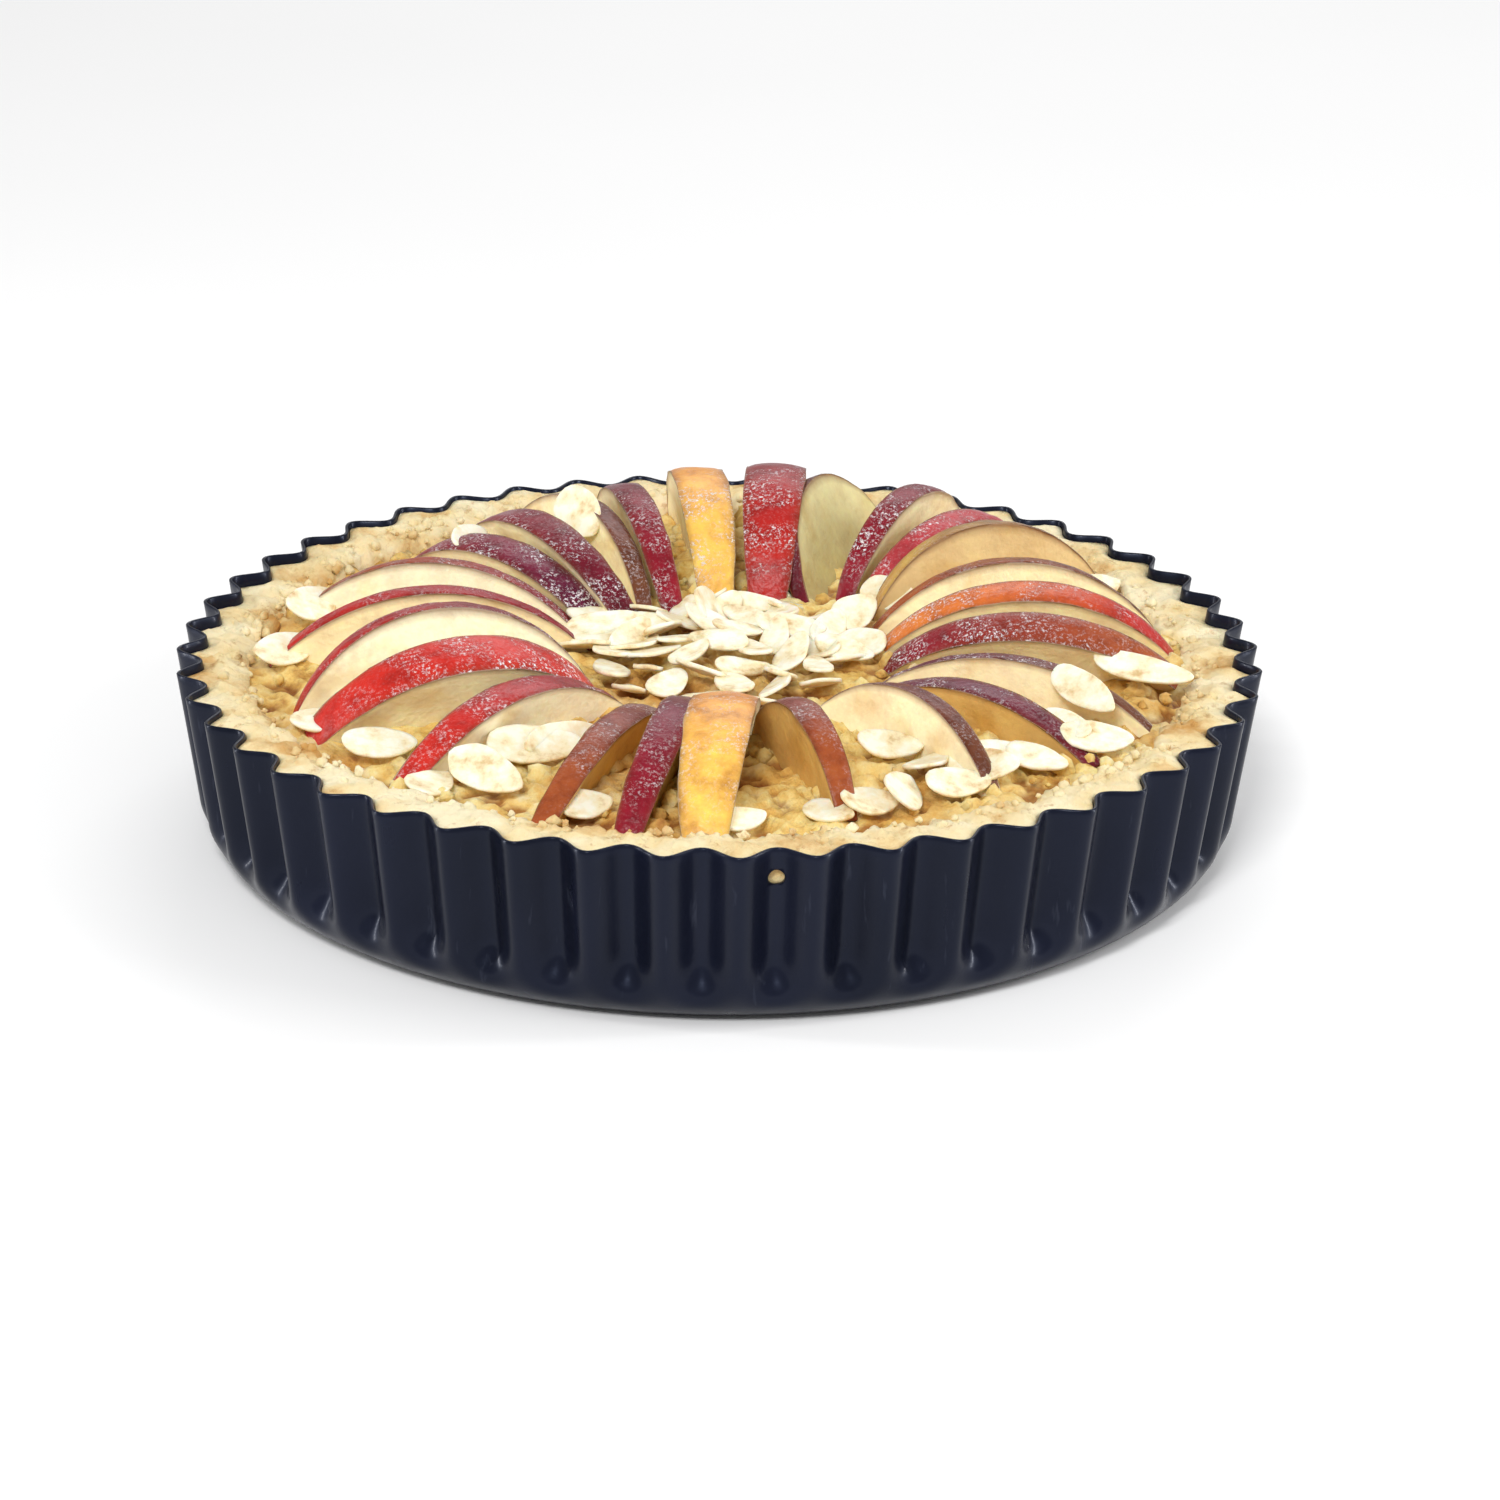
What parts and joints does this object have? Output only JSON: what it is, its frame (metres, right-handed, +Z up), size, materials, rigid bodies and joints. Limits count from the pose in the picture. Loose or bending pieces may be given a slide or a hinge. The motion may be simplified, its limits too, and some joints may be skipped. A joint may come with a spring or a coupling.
{
  "type": "tart pan",
  "caption": "Round fluted tart pan in dark non-stick steel with a loose base, holding a baked apple and almond tart that lifts out.",
  "frame": {"origin": "centre of the pan's underside, on the surface it stands on", "axes": "+Z up; the front of the pan, with the small hole in a valley of the wall just right of the middle, faces -Y"},
  "size_m": [0.2498, 0.2498, 0.06],
  "materials": {
    "nonstick_steel": "satin dark blue-black non-stick coating",
    "pastry": "pale baked shortcrust, matt and crumbly",
    "filling": "golden baked almond filling, rough and slightly moist",
    "apple": "baked apple: red skin, cream flesh, a satin moist sheen",
    "almond": "blanched almond flakes, matt with a thin brown edge"
  },
  "bodies": {
    "ring": {"fluted_ring": "nonstick_steel"},
    "base": {"loose_base": "nonstick_steel"},
    "tart": {"pastry_shell": "pastry", "almond_filling": "filling", "apple_slice_01": "apple", "apple_slice_02": "apple", "apple_slice_03": "apple", "apple_slice_04": "apple", "apple_slice_05": "apple", "apple_slice_06": "apple", "apple_slice_07": "apple", "apple_slice_08": "apple", "apple_slice_09": "apple", "apple_slice_10": "apple", "apple_slice_11": "apple", "apple_slice_12": "apple", "apple_slice_13": "apple", "apple_slice_14": "apple", "apple_slice_15": "apple", "apple_slice_16": "apple", "apple_slice_17": "apple", "apple_slice_18": "apple", "apple_slice_19": "apple", "apple_slice_20": "apple", "apple_slice_21": "apple", "apple_slice_22": "apple", "apple_slice_23": "apple", "apple_slice_24": "apple", "apple_slice_25": "apple", "centre_flakes": "almond", "scattered_flakes": "almond"}
  },
  "joints": [
    {"name": "base_lift", "type": "slide", "parent": "ring", "child": "base", "axis": [0, 0, 1], "range_m": [0, 0.06]},
    {"name": "tart_lift", "type": "slide", "parent": "base", "child": "tart", "axis": [0, 0, 1], "range_m": [0, 0.06]}
  ]
}
